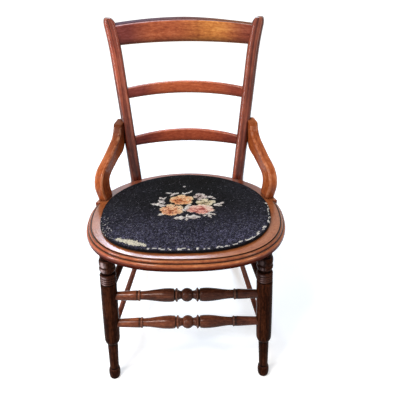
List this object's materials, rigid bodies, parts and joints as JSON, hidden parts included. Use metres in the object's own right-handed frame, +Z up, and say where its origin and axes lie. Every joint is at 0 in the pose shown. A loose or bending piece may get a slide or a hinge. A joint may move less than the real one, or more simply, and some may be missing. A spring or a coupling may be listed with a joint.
{
  "type": "side chair",
  "caption": "Wooden side chair with bowed back rails, curved hip rests, turned front legs and stretchers, and an oval moulded seat frame with an embroidered pad.",
  "frame": {"origin": "on the floor, under the middle of the chair's width and length", "axes": "+Z up, -Y the way the chair faces, +X to the right as seen from the front"},
  "size_m": [0.4926, 0.5162, 0.8435],
  "materials": {
    "warm_wood": "glossy varnish",
    "red_wood": "glossy varnish",
    "dark_wood": "glossy dark varnish",
    "inner_wood": "bare",
    "cotton_wadding": "loose wadding",
    "needlepoint": "worn wool needlepoint",
    "steel_screw": "dull"
  },
  "bodies": {
    "root": {"front_seat_rail": "warm_wood", "left_seat_rail": "warm_wood", "right_seat_rail": "warm_wood", "rear_seat_rail": "warm_wood", "crest_rail": "warm_wood", "upper_slat": "warm_wood", "lower_slat": "warm_wood", "left_hip_rest": "warm_wood", "right_hip_rest": "warm_wood", "left_back_post": "red_wood", "right_back_post": "red_wood", "left_front_leg": "dark_wood", "right_front_leg": "dark_wood", "upper_front_stretcher": "dark_wood", "lower_front_stretcher": "dark_wood", "left_upper_side_stretcher": "dark_wood", "left_lower_side_stretcher": "dark_wood", "right_upper_side_stretcher": "dark_wood", "right_lower_side_stretcher": "dark_wood", "rear_stretcher": "dark_wood", "seat_joint_tenon_front_left": "inner_wood", "seat_joint_tenon_front_right": "inner_wood", "seat_joint_tenon_rear_left": "inner_wood", "seat_joint_tenon_rear_right": "inner_wood", "seat_board": "inner_wood", "pad_stuffing": "cotton_wadding", "needlepoint_cover": "needlepoint", "left_post_screw": "steel_screw", "right_post_screw": "steel_screw", "left_rest_top_screw": "steel_screw", "right_rest_top_screw": "steel_screw", "left_rest_foot_screw": "steel_screw", "right_rest_foot_screw": "steel_screw", "front_left_board_screw": "steel_screw", "front_right_board_screw": "steel_screw", "rear_left_board_screw": "steel_screw", "rear_right_board_screw": "steel_screw"}
  },
  "joints": []
}
